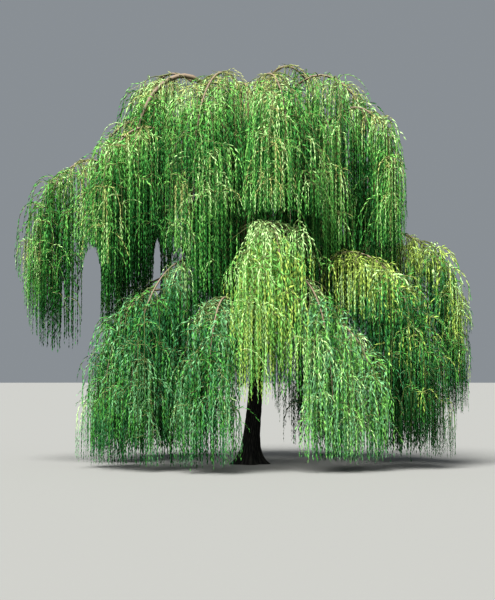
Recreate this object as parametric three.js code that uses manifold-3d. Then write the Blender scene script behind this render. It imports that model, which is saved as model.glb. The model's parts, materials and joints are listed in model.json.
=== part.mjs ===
// A weeping willow: one leaning trunk with a root flare, boughs that arch out of it, and masses of
// hanging foliage, each on the tip of its own bough. Millimetres, +Z up. The origin is the middle of
// the flat cut under the trunk, at ground level. The side that the photograph shows faces -Y, with
// its right along +X.
import * as THREE from 'three';
import { mergeVertices } from 'three/addons/utils/BufferGeometryUtils.js';
import Module from 'manifold-3d';

const wasm = await Module();
wasm.setup();

const GAP = 0.3; // between solids that meet
const CLEARANCE = 50; // of a twig's middle line from the surface of any limb
const DOWN = -Math.PI / 2;
const GOLDEN = 0.618034; // spreads positions evenly, however many of them are made
const TURN = 2 * Math.PI;
const UP = new THREE.Vector3(0, 0, 1);
const radians = THREE.MathUtils.degToRad;

// The trunk widens towards the ground, and its flare there has lobes where the roots begin.
const TRUNK = {
  lean: 0.09, // sideways travel along +X for each unit of height
  radius: 170,
  widening: 60,
  wideningHeight: 1200,
  flare: 260,
  flareHeight: 240,
  lobes: 5,
  lobeDepth: 0.16,
  lobeTurn: 0.9, // radians, which turns the lobes round the foot
  rounding: 0.72, // of the top ring, where the trunk forks
  sides: 20,
  rings: [-90, 60, 150, 270, 430, 700, 1100, 1600, 2100, 2600, 3000, 3220, 3300],
};
const BOUGH = {
  tip: 30,
  sides: 5,
  steps: 6,
  leave: 42, // the pitch at which it leaves its parent, in degrees, where the mass doesn't say
  tipPitch: radians(40),
  rootPull: 0.36,
  tipPull: 0.3,
  rootShare: 0.85, // at most, of its parent's radius there
};
const STEM = {
  tip: 12,
  sides: 4,
  picked: [0, 2, 5, 8, 12, 17, 24], // of the steps along its path
  spread: 0.86, // of the mass's depth, which its path crosses
  arch: 1.1, // turning lengths in the arch, before the fall
  fall: 0.64, // of the height from crest to hem
  straightAfter: 6, // turning lengths, by which a path hangs straight
};
const WITHY = {
  count: 4, // in each mass; the finer ones are the same rule carried further
  root: 0.75, // of the stem's radius where it leaves
  tip: 10,
  sides: 3,
  along: [0.12, 0.97], // shares of the stem between which they leave it
  start: 0.31,
  aside: [0.5, 2], // radians from the mass's own heading
  turning: [0.2, 0.62], // turning lengths, as shares of the half width
  arch: 0.55,
  fall: [0.74, 0.99], // of the height left down to the hem
  pitch: radians(24),
  picked: [0, 3, 8, 24],
  shortest: 700,
  checkEvery: 120,
  margin: 0.03, // of a mass's half width, kept from the next mass
};
const SPRAY = {
  every: 700,
  most: 5,
  onStem: [0.08, 0.22, 0.36, 0.5, 0.64, 0.78],
  onWithy: [0.1, 0.9],
  length: [1600, 2800],
  width: 460,
  thickness: 32,
  widest: 0.36,
  splay: 0.3, // how far a spray leans out from its twig, as a slope
  lookingUp: 0.3, // a side that looks up more than this bears no spray
  shorten: 0.15, // for each further side that is tried
  margin: 0.02,
};
// The space of a mass: an ellipse in plan, longer towards the trunk, under a top that falls off
// towards the rim.
const SPACE = { rim: 1.1, halfDepth: 0.56, inwards: 0.72, above: 60, topDrop: 500 };
const STEPS = 24; // along every path that weeps
const COLOURS = {
  bark: 0x3d342c,
  crown: 0x7da360,
  shoulder: 0x5e8c48,
  front: 0x9cb352,
  skirt: 0x46783a,
  slope: 0x5a8a4b,
};
const ROUGHNESS = { bark: 0.95, leaves: 0.6 };

// Each mass hangs from one bough. azimuth is the way it grows from the trunk, in degrees from +X
// seen from above, so that 270 faces the viewer. inner is how far out its bough ends and it begins,
// reach how far out it gets, crest its highest point, hem its lowest and half its half width. The
// bough forks from its parent at that share of the parent's length, with the radius root, and a
// stouter one than most has its own tip radius.
const MASSES = {
  crown_left: { azimuth: 197, inner: 1350, reach: 3550, crest: 10050, hem: 4000, half: 1250,
    parent: 'trunk', at: 0.92, root: 112, tip: 70, leave: 72 },
  crown_right: { azimuth: 350, inner: 1450, reach: 3750, crest: 10100, hem: 2800, half: 1250,
    parent: 'trunk', at: 0.88, root: 104, leave: 72 },
  crown_back: { azimuth: 95, inner: 900, reach: 3300, crest: 10200, hem: 4800, half: 1300,
    parent: 'trunk', at: 0.86, root: 82, leave: 72 },
  shoulder_far_left: { azimuth: 178, inner: 3800, reach: 5900, crest: 7950, hem: 2900, half: 1150,
    parent: 'trunk', at: 0.8, root: 88, leave: 48 },
  front_centre: { azimuth: 283, inner: 1600, reach: 4200, crest: 6100, hem: 1600, half: 2200,
    parent: 'trunk', at: 0.74, root: 66 },
  skirt_right: { azimuth: 354, inner: 3500, reach: 5550, crest: 5950, hem: 1300, half: 1050,
    parent: 'trunk', at: 0.78, root: 84 },
  skirt_back: { azimuth: 97, inner: 2600, reach: 5000, crest: 4600, hem: 1900, half: 1100,
    parent: 'trunk', at: 0.72, root: 62 },
  crown_front_left: { azimuth: 238, inner: 700, reach: 3000, crest: 10050, hem: 3100, half: 1450,
    parent: 'crown_left', at: 0.5, root: 55 },
  crown_front_right: { azimuth: 291, inner: 900, reach: 3150, crest: 9950, hem: 3900, half: 1350,
    parent: 'crown_right', at: 0.5, root: 58 },
  crown_top: { azimuth: 20, inner: 850, reach: 2200, crest: 10480, hem: 7000, half: 1000,
    parent: 'crown_back', at: 0.6, root: 46 },
  crown_back_left: { azimuth: 156, inner: 1900, reach: 3850, crest: 10400, hem: 5000, half: 1200,
    parent: 'crown_back', at: 0.5, root: 52 },
  crown_back_right: { azimuth: 46, inner: 1000, reach: 3300, crest: 9700, hem: 4200, half: 1200,
    parent: 'crown_right', at: 0.42, root: 56 },
  shoulder_left: { azimuth: 204, inner: 2450, reach: 4550, crest: 8600, hem: 4000, half: 1050,
    parent: 'shoulder_far_left', at: 0.45, root: 52 },
  shoulder_left_top: { azimuth: 178, inner: 2700, reach: 4400, crest: 8950, hem: 5200, half: 950,
    parent: 'crown_left', at: 0.38, root: 48 },
  shoulder_right: { azimuth: 342, inner: 2600, reach: 4050, crest: 9150, hem: 3900, half: 950,
    parent: 'crown_right', at: 0.6, root: 46 },
  shoulder_back_left: { azimuth: 150, inner: 3000, reach: 5000, crest: 7500, hem: 3300, half: 1100,
    parent: 'crown_back', at: 0.34, root: 54 },
  shoulder_back: { azimuth: 96, inner: 3000, reach: 5100, crest: 7300, hem: 2900, half: 1150,
    parent: 'crown_back', at: 0.44, root: 50 },
  shoulder_back_right: { azimuth: 36, inner: 3000, reach: 5000, crest: 7600, hem: 3300, half: 1100,
    parent: 'crown_right', at: 0.3, root: 56 },
  skirt_left: { azimuth: 209, inner: 2100, reach: 4550, crest: 4450, hem: 60, half: 950,
    parent: 'shoulder_far_left', at: 0.18, root: 56 },
  skirt_front_left: { azimuth: 226, inner: 1500, reach: 4750, crest: 5200, hem: 80, half: 1000,
    parent: 'front_centre', at: 0.2, root: 46 },
  skirt_front: { azimuth: 256, inner: 1900, reach: 4600, crest: 4200, hem: 100, half: 1000,
    parent: 'front_centre', at: 0.36, root: 40 },
  skirt_front_right: { azimuth: 298, inner: 2000, reach: 4700, crest: 4700, hem: 200, half: 920,
    parent: 'front_centre', at: 0.3, root: 42 },
  slope_right: { azimuth: 318, inner: 2300, reach: 4700, crest: 3600, hem: 150, half: 800,
    parent: 'skirt_right', at: 0.2, root: 44 },
  skirt_right_front: { azimuth: 334, inner: 2300, reach: 5350, crest: 5400, hem: 200, half: 1050,
    parent: 'skirt_right', at: 0.36, root: 46 },
  skirt_back_right: { azimuth: 20, inner: 2300, reach: 5250, crest: 5200, hem: 200, half: 1050,
    parent: 'skirt_right', at: 0.28, root: 46 },
  skirt_far_back_right: { azimuth: 60, inner: 2600, reach: 5100, crest: 5200, hem: 250, half: 1050,
    parent: 'skirt_back', at: 0.3, root: 42 },
  skirt_back_left: { azimuth: 131, inner: 2600, reach: 5000, crest: 4700, hem: 200, half: 1050,
    parent: 'skirt_back', at: 0.24, root: 44 },
  skirt_far_left: { azimuth: 168, inner: 1700, reach: 4100, crest: 4900, hem: 120, half: 950,
    parent: 'shoulder_far_left', at: 0.28, root: 46 },
};

// Gaps that show what is behind, from the photograph's viewpoint: ellipses that fill these boxes in
// the upright plane through the trunk.
const VIEWPOINT = new THREE.Vector3(-40, -38000, 2300);
const GAPS_SEEN = {
  under_left_shoulder: { x: [-4350, -3850], z: [3900, 5600] },
  beside_left_shoulder: { x: [-2480, -2300], z: [4400, 5800] },
  beside_trunk: { x: [300, 850], z: [-1500, 1600] },
};

// A share from 0 to 1 that looks random, and is the same for the same three numbers.
function chance(mass, twig, use) {
  const wave = Math.sin(mass * 12.9898 + twig * 78.233 + use * 37.719) * 43758.5453;
  return wave - Math.floor(wave);
}

function between([low, high], share) {
  return low + (high - low) * share;
}

// A shoot's path: it leaves at its own pitch and turns towards straight down, the slower the
// larger its turning length.
function weep(start, heading, pitch, turning, length) {
  const points = [start.clone()];
  const step = length / STEPS;
  for (let k = 0; k < STEPS; k += 1) {
    const angle = DOWN + (pitch - DOWN) * Math.exp((-(k + 0.5) * step) / turning);
    const ahead = new THREE.Vector3(
      Math.cos(heading) * Math.cos(angle),
      Math.sin(heading) * Math.cos(angle),
      Math.sin(angle),
    );
    points.push(points[k].clone().addScaledVector(ahead, step));
  }
  return points;
}

// Every path's cross directions: each is the one before, laid square to the path again. The end
// rings stand square to the ways given for them, so that two limbs can meet face to face.
function framesAlong(points, firstWay, lastWay) {
  const last = points.length - 1;
  let across = new THREE.Vector3(0.31, 0.95, 0.05);
  return points.map((_, k) => {
    const chord = points[Math.min(k + 1, last)].clone().sub(points[Math.max(k - 1, 0)]).normalize();
    const ahead = (k === 0 && firstWay) || (k === last && lastWay) || chord;
    across = across.clone().addScaledVector(ahead, -across.dot(ahead)).normalize();
    return { ahead, across, aside: across.clone().cross(ahead) };
  });
}

function taper(points, root, tip) {
  return points.map((_, k) => root + ((tip - root) * k) / (points.length - 1));
}

// The way that one flat side of a limb faces.
function sideWay(frame, side, sides) {
  const angle = ((side + 0.5) * TURN) / sides;
  return frame.across.clone().multiplyScalar(Math.sin(angle)).addScaledVector(frame.aside, Math.cos(angle));
}

// A closed solid from a geometry whose vertices shapeVertex moves to where they belong.
function solidFrom(geometry, shapeVertex) {
  geometry.deleteAttribute('normal');
  geometry.deleteAttribute('uv');
  const merged = mergeVertices(geometry);
  const position = merged.attributes.position;
  const vertex = new THREE.Vector3();
  for (let i = 0; i < position.count; i += 1) {
    vertex.fromBufferAttribute(position, i);
    shapeVertex(vertex);
    position.setXYZ(i, vertex.x, vertex.y, vertex.z);
  }
  return new wasm.Manifold(
    new wasm.Mesh({
      numProp: 3,
      vertProperties: position.array,
      triVerts: new Uint32Array(merged.index.array),
    }),
  );
}

// A unit cylinder bent along a path, with its own radius at each point and at each angle.
function limbSolid({ points, radii, sides, firstWay, lastWay, lobe = () => 1 }) {
  const rings = points.length - 1;
  const frames = framesAlong(points, firstWay, lastWay);
  return solidFrom(new THREE.CylinderGeometry(1, 1, 1, sides, rings), (vertex) => {
    const k = Math.round((vertex.y + 0.5) * rings);
    const radius = radii[k] * lobe(k, Math.atan2(vertex.z, vertex.x));
    const { across, aside } = frames[k];
    const { x, z } = vertex;
    vertex.copy(points[k]).addScaledVector(across, x * radius).addScaledVector(aside, z * radius);
  });
}

// The same limb a gap larger all over, to cut what meets it.
function limbRoom(limb) {
  const radii = limb.radii.map((radius) => radius + GAP / Math.cos(Math.PI / limb.sides));
  const points = limb.points.map((point) => point.clone());
  const last = points.length - 1;
  points[last].addScaledVector(points[last].clone().sub(points[last - 1]).normalize(), GAP);
  return limbSolid({ ...limb, points, radii });
}

function largestPiece(solid) {
  return solid.decompose().reduce((best, piece) => (piece.volume() > best.volume() ? piece : best));
}

function makeTrunk() {
  const points = TRUNK.rings.map((z) => new THREE.Vector3(TRUNK.lean * z, 0, z));
  const radii = TRUNK.rings.map(
    (z) =>
      TRUNK.radius +
      TRUNK.widening * Math.exp(-z / TRUNK.wideningHeight) +
      TRUNK.flare * Math.exp(-z / TRUNK.flareHeight),
  );
  radii[radii.length - 1] *= TRUNK.rounding;
  const lobe = (k, angle) => {
    const depth = TRUNK.lobeDepth * Math.exp(-TRUNK.rings[k] / (2 * TRUNK.flareHeight));
    return 1 + depth * Math.cos(TRUNK.lobes * angle + TRUNK.lobeTurn);
  };
  return { points, radii, sides: TRUNK.sides, lobe };
}

// The foot is cut flat at ground level, whatever the lean.
function levelFoot(solid) {
  const side = 4 * (TRUNK.radius + TRUNK.widening + TRUNK.flare);
  const ground = solidFrom(new THREE.BoxGeometry(side, side, side), (vertex) => {
    vertex.z -= side / 2;
  });
  return solid.subtract(ground);
}

function outward(mass) {
  const azimuth = radians(mass.azimuth);
  return new THREE.Vector3(Math.cos(azimuth), Math.sin(azimuth), 0);
}

// A mass's main stem arches over at the crest and hangs down its outer face. Its turning length
// is the one that brings it down inside the reach.
function stemPath(mass) {
  const azimuth = radians(mass.azimuth);
  const span = (mass.reach - mass.inner) * STEM.spread;
  const spreadOfOne = weep(new THREE.Vector3(), 0, BOUGH.tipPitch, 1, STEM.straightAfter)[STEPS].x;
  const turning = span / spreadOfOne;
  const length = turning * STEM.arch + (mass.crest - mass.hem) * STEM.fall;
  const points = weep(outward(mass).multiplyScalar(mass.inner), azimuth, BOUGH.tipPitch, turning, length);
  const lift = mass.crest - Math.max(...points.map((point) => point.z));
  points.forEach((point) => {
    point.z += lift;
  });
  return points;
}

function pointAlong(points, share) {
  const place = THREE.MathUtils.clamp(share, 0, 1) * (points.length - 1);
  const k = Math.min(Math.floor(place), points.length - 2);
  return points[k].clone().lerp(points[k + 1], place - k);
}

// A bough leaves its parent at an open angle and arrives at the mass along the way its stem goes on.
function makeBough(mass, parent, stem) {
  const root = pointAlong(parent.points, mass.at);
  const tip = stem[0].clone();
  const lastWay = stem[1].clone().sub(stem[0]).normalize();
  const distance = tip.distanceTo(root);
  const level = new THREE.Vector3(tip.x - root.x, tip.y - root.y, 0).normalize();
  const leave = radians(mass.leave ?? BOUGH.leave);
  const rootWay = level.multiplyScalar(Math.cos(leave)).addScaledVector(UP, Math.sin(leave));
  const curve = new THREE.CubicBezierCurve3(
    root,
    root.clone().addScaledVector(rootWay, distance * BOUGH.rootPull),
    tip.clone().addScaledVector(lastWay, -distance * BOUGH.tipPull),
    tip,
  );
  const points = curve.getSpacedPoints(BOUGH.steps);
  const parentRadius = parent.radii[Math.round(mass.at * (parent.radii.length - 1))];
  const rootRadius = Math.min(mass.root, BOUGH.rootShare * parentRadius);
  const radii = taper(points, rootRadius, mass.tip ?? BOUGH.tip);
  return { points, radii, sides: BOUGH.sides, lastWay };
}

// How far a point lies from the middle of a mass's plan, where 1 is its rim.
function planShare(mass, point) {
  const out = outward(mass);
  const along = point.x * out.x + point.y * out.y;
  const across = point.y * out.x - point.x * out.y;
  const u = ((along - mass.inner) / (mass.reach - mass.inner) - 0.5) / SPACE.halfDepth;
  return Math.hypot(u < 0 ? SPACE.inwards * u : u, across / mass.half);
}

function topAt(mass, point) {
  return mass.crest + 2 * SPACE.above - SPACE.topDrop * planShare(mass, point) ** 2;
}

// A point is in a mass's own space if it is within its heights and nearer its middle than any other's.
function inOwnSpace(name, point, margin) {
  const mass = MASSES[name];
  const own = planShare(mass, point);
  if (own > SPACE.rim || point.z < mass.hem || point.z > mass.crest + SPACE.above) {
    return false;
  }
  return Object.entries(MASSES).every(([other, neighbour]) => {
    if (other === name || point.z < neighbour.hem - SPACE.above || point.z > topAt(neighbour, point)) {
      return true;
    }
    return planShare(neighbour, point) > own + margin;
  });
}

function inGapSeen(point) {
  const scale = VIEWPOINT.y / (VIEWPOINT.y - point.y);
  const x = VIEWPOINT.x + (point.x - VIEWPOINT.x) * scale;
  const z = VIEWPOINT.z + (point.z - VIEWPOINT.z) * scale;
  const fromMiddle = (value, [low, high]) => (2 * value - low - high) / (high - low);
  return Object.values(GAPS_SEEN).some((gap) => Math.hypot(fromMiddle(x, gap.x), fromMiddle(z, gap.z)) < 1);
}

// True if a point keeps its distance from all of these limbs.
function clearOfLimbs(point, limbs) {
  const segment = new THREE.Line3();
  const nearest = new THREE.Vector3();
  return limbs.every((limb) => {
    for (let k = 1; k < limb.points.length; k += 1) {
      segment.set(limb.points[k - 1], limb.points[k]).closestPointToPoint(point, true, nearest);
      if (nearest.distanceTo(point) < limb.radii[k - 1] + CLEARANCE) {
        return false;
      }
    }
    return true;
  });
}

// A leafy spray: an octahedron drawn out into a hanging blade, widest near its root.
function spraySolid(root, tip, facing) {
  const middle = root.clone().lerp(tip, SPRAY.widest);
  const ahead = tip.clone().sub(root).normalize();
  const across = new THREE.Vector3(-Math.sin(facing), Math.cos(facing), 0);
  across.addScaledVector(ahead, -across.dot(ahead)).normalize();
  const through = across.clone().cross(ahead);
  const corners = {
    root,
    tip,
    sides: [1, -1].map((side) => middle.clone().addScaledVector(across, (side * SPRAY.width) / 2)),
    faces: [1, -1].map((side) => middle.clone().addScaledVector(through, (side * SPRAY.thickness) / 2)),
  };
  const solid = solidFrom(new THREE.OctahedronGeometry(1), (vertex) => {
    if (Math.abs(vertex.y) > 0.5) {
      vertex.copy(vertex.y > 0 ? corners.tip : corners.root);
    } else if (Math.abs(vertex.x) > 0.5) {
      vertex.copy(corners.sides[vertex.x > 0 ? 0 : 1]);
    } else {
      vertex.copy(corners.faces[vertex.z > 0 ? 0 : 1]);
    }
  });
  const rim = corners.sides.flatMap((side) => [
    side,
    side.clone().lerp(tip, 0.33),
    side.clone().lerp(tip, 0.67),
    side.clone().lerp(root, 0.5),
  ]);
  return { solid, rim: [tip, middle, middle.clone().lerp(tip, 0.5), ...rim] };
}

// The path of withy number i of a mass: it leaves the stem to one side and hangs to the hem.
function withyPath(mass, number, i, stem) {
  const share = between(WITHY.along, (WITHY.start + i * GOLDEN) % 1);
  const start = pointAlong(stem.points, share);
  const side = i % 2 ? 1 : -1;
  const heading = radians(mass.azimuth) + side * between(WITHY.aside, chance(number, i, 1));
  const turning = mass.half * between(WITHY.turning, chance(number, i, 2));
  const fall = (start.z - mass.hem) * between(WITHY.fall, chance(number, i, 3));
  const length = turning * WITHY.arch + fall;
  const root = between([BOUGH.tip, STEM.tip], share) * WITHY.root;
  return { path: weep(start, heading, WITHY.pitch, turning, length), root };
}

// The stretch of a twig from its root as far as every point of it is allowed.
function keptStretch(points, allowed) {
  const kept = [points[0]];
  for (let k = 1; k < points.length; k += 1) {
    const checks = Math.ceil(points[k].distanceTo(points[k - 1]) / WITHY.checkEvery);
    let reached = points[k - 1];
    for (let n = 1; n <= checks; n += 1) {
      const point = points[k - 1].clone().lerp(points[k], n / checks);
      if (!allowed(point)) {
        return reached === points[k - 1] ? kept : [...kept, reached];
      }
      reached = point;
    }
    kept.push(points[k]);
  }
  return kept;
}

// The spray that leaves one side of a twig, with its root on the twig's axis, so that its neck
// lies within that side.
function sprayFrom(mass, twig, share, side, length) {
  const frames = framesAlong(twig.points, twig.firstWay);
  const k = Math.min(Math.floor(share * (twig.points.length - 1)), twig.points.length - 2);
  const outwards = sideWay(frames[k], side, twig.sides);
  const way = outwards.clone().multiplyScalar(SPRAY.splay);
  way.z -= 1;
  const root = pointAlong(twig.points, share);
  const tip = root.clone().addScaledVector(way.normalize(), length);
  tip.z = Math.max(tip.z, mass.hem);
  return { outwards, ...spraySolid(root, tip, Math.atan2(outwards.y, outwards.x)) };
}

// The sprays along a twig. Each leaves the next side round or, if it doesn't fit there, tries the
// others, a little shorter each time.
function hangSprays(mass, twig, places, chances, fits) {
  const hung = [];
  places.forEach((share, j) => {
    const length = between(SPRAY.length, chances(j));
    for (let attempt = 0; attempt < twig.sides; attempt += 1) {
      const spray = sprayFrom(mass, twig, share, j + attempt, length * (1 - SPRAY.shorten * attempt));
      if (spray.outwards.z < SPRAY.lookingUp && fits(spray, hung)) {
        hung.push(spray.solid);
        return;
      }
    }
  });
  return hung;
}

// A mass's stem goes on from its bough's tip, face to face with it, as far as nothing is in its way.
function makeStem(name, path, others) {
  const firstWay = path[1].clone().sub(path[0]).normalize();
  const points = keptStretch(
    STEM.picked.map((k) => path[k]),
    (point) => clearOfLimbs(point, others) && point.z > MASSES[name].hem,
  );
  points[0] = path[0].clone().addScaledVector(firstWay, GAP);
  const radii = taper(points, MASSES[name].tip ?? BOUGH.tip, STEM.tip);
  return { points, radii, sides: STEM.sides, firstWay };
}

// One mass: its stem, the withies that leave it, and the sprays that hang from both. What would
// leave the mass's space, or touch a limb, another stem or a mass already made, is skipped.
function makeMass(name, number, limbs, stems, solids) {
  const mass = MASSES[name];
  const stem = stems.get(name);
  const others = [...limbs.values(), ...[...stems.values()].filter((other) => other !== stem)];
  const taken = [...others.map(limbRoom), ...solids];
  const apart = (solid, neighbours) => neighbours.every((other) => other.intersect(solid).isEmpty());
  const allowed = (point, margin) => inOwnSpace(name, point, margin) && !inGapSeen(point);
  let solid = limbSolid(stem);
  const sprays = [];
  const fits = (spray, hung) =>
    spray.rim.every((point) => allowed(point, SPRAY.margin)) &&
    apart(spray.solid, [...taken, ...sprays, ...hung]);
  for (let i = 0; i < WITHY.count; i += 1) {
    const withy = withyPath(mass, number, i, stem);
    const points = keptStretch(
      WITHY.picked.map((k) => withy.path[k]),
      (point) => allowed(point, WITHY.margin) && clearOfLimbs(point, others),
    );
    const length = points[0].distanceTo(points[points.length - 1]);
    if (length > WITHY.shortest) {
      const radii = taper(points, withy.root, Math.min(WITHY.tip, withy.root));
      const twig = { points, radii, sides: WITHY.sides };
      const twigSolid = limbSolid(twig);
      if (apart(twigSolid, [...taken, ...sprays])) {
        solid = solid.add(twigSolid);
        const count = Math.min(SPRAY.most, Math.round(length / SPRAY.every));
        const places = Array.from({ length: count }, (_, j) => between(SPRAY.onWithy, (j + 0.5) / count));
        sprays.push(...hangSprays(mass, twig, places, (j) => chance(number, i, 10 + j), fits));
      }
    }
  }
  sprays.push(...hangSprays(mass, stem, SPRAY.onStem, (j) => chance(number, j, 30), fits));
  return largestPiece(sprays.reduce((sum, spray) => sum.add(spray), solid));
}

const willow = new THREE.Group();

// Adds one mesh, coloured as bark or by the part of the tree that its mass belongs to.
function addNode(name, solid, kind) {
  const material = new THREE.MeshStandardMaterial({
    color: COLOURS[kind],
    roughness: kind === 'bark' ? ROUGHNESS.bark : ROUGHNESS.leaves,
    metalness: 0,
  });
  const { numProp, vertProperties, triVerts } = solid.getMesh();
  const geometry = new THREE.BufferGeometry();
  geometry.setAttribute('position', new THREE.BufferAttribute(vertProperties, numProp));
  geometry.setIndex(new THREE.BufferAttribute(triVerts, 1));
  geometry.computeVertexNormals();
  const mesh = new THREE.Mesh(geometry, material);
  mesh.name = name;
  willow.add(mesh);
}

const limbs = new Map([['trunk', makeTrunk()]]);
const stemPaths = new Map();
for (const [name, mass] of Object.entries(MASSES)) {
  const path = stemPath(mass);
  stemPaths.set(name, path);
  limbs.set(name, makeBough(mass, limbs.get(mass.parent), path));
}

// Each limb is cut by those before it, so that it is seated on its parent and clear of the rest.
const rooms = [];
for (const [name, limb] of limbs) {
  const whole = name === 'trunk' ? levelFoot(limbSolid(limb)) : limbSolid(limb);
  const solid = rooms.reduce((left, room) => left.subtract(room), whole);
  rooms.push(limbRoom(limb));
  addNode(name === 'trunk' ? name : `bough_${name}`, largestPiece(solid), 'bark');
}

const stems = new Map();
for (const [name, path] of stemPaths) {
  const otherLimbs = [...limbs].filter(([other]) => other !== name).map(([, limb]) => limb);
  stems.set(name, makeStem(name, path, [...otherLimbs, ...stems.values()]));
}

const solids = [];
[...stems.keys()].forEach((name, number) => {
  const solid = makeMass(name, number + 1, limbs, stems, solids);
  solids.push(solid);
  addNode(`foliage_${name}`, solid, name.split('_')[0]);
});

export default willow;
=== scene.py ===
# %% [markdown]
# A weeping willow in Blender
#
# A weeping willow is a short trunk, a few boughs that arch up and out of it, and long thin shoots
# that hang from the boughs like hair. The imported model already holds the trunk, the boughs and the
# space of every mass of foliage. This lesson grows the real surface on that frame: furrowed bark,
# withies, fine strands, and some four hundred thousand narrow leaves. All shapes are numpy arrays
# worked out from a few sizes, so the whole tree is the same each time the lesson is run.

# %% Load the frame and note its size
import json
from collections import namedtuple
import bpy
import numpy as np
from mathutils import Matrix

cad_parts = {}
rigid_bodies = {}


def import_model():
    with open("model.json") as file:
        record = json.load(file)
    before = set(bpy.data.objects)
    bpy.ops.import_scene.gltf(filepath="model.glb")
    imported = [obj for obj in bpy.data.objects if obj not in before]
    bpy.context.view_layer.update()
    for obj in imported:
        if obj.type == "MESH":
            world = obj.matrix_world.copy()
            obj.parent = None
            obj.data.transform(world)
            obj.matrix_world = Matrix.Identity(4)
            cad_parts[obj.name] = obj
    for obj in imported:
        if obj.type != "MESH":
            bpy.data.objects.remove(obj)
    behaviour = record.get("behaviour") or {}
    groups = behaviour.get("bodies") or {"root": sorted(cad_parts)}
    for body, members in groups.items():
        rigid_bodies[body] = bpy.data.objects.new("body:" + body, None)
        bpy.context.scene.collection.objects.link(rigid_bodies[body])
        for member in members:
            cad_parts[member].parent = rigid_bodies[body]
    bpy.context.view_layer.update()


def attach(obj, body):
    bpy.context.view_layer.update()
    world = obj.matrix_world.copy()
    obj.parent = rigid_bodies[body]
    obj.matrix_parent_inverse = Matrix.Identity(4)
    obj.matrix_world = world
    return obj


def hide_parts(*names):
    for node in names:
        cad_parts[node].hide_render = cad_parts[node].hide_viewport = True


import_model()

# %% [markdown]
# Where the viewer stands
#
# The picture was taken from far off, a little above eye level and looking slightly up. A tree could
# be framed by eye, but working the lens out from the picture's scale is surer: near the trunk 38.4
# pixels are one metre, so from 38 metres away the focal length is the product of the two, in pixels.
# Blender wants it in millimetres of a sensor whose long side is the picture's height.

# %% Camera
PICTURE_HEIGHT = 600
PIXELS_PER_METRE = 38.4
VIEWPOINT = np.array([-0.04, -38.0, 2.3])
LOOKING_UP = np.radians(2.94)
SENSOR = 36.0
FARTHEST = 500

scene = bpy.context.scene


def add_object(name, data):
    """A new object of the scene that shows this data."""
    made = bpy.data.objects.new(name, data)
    scene.collection.objects.link(made)
    return made


camera_data = bpy.data.cameras.new("viewer")
camera_data.sensor_width = SENSOR
camera_data.lens = PIXELS_PER_METRE * -VIEWPOINT[1] * SENSOR / PICTURE_HEIGHT
camera_data.clip_end = FARTHEST
camera = add_object("viewer", camera_data)
camera.location = VIEWPOINT
camera.rotation_euler = (np.pi / 2 + LOOKING_UP, 0, 0)
scene.camera = camera
print("The lens is", round(camera_data.lens, 1), "mm")

# %% [markdown]
# The masses of the crown
#
# Foliage that hangs in tresses is best told apart by mass, because each mass hangs from one bough and
# keeps to its own space. A mass grows away from the trunk along its azimuth (degrees from +X, seen
# from above, so 270 faces the viewer). It begins at the distance inner and ends at reach, its highest
# point is the crest, its lowest the hem, and half is half its width. Its bough forks from the parent
# at a share of the parent's length, with the radius root there, and leaves it at an open pitch that
# four leaders have steeper, in degrees. One stouter bough has its own tip radius. These are the same
# sizes that the frame was built from, in metres.

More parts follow.
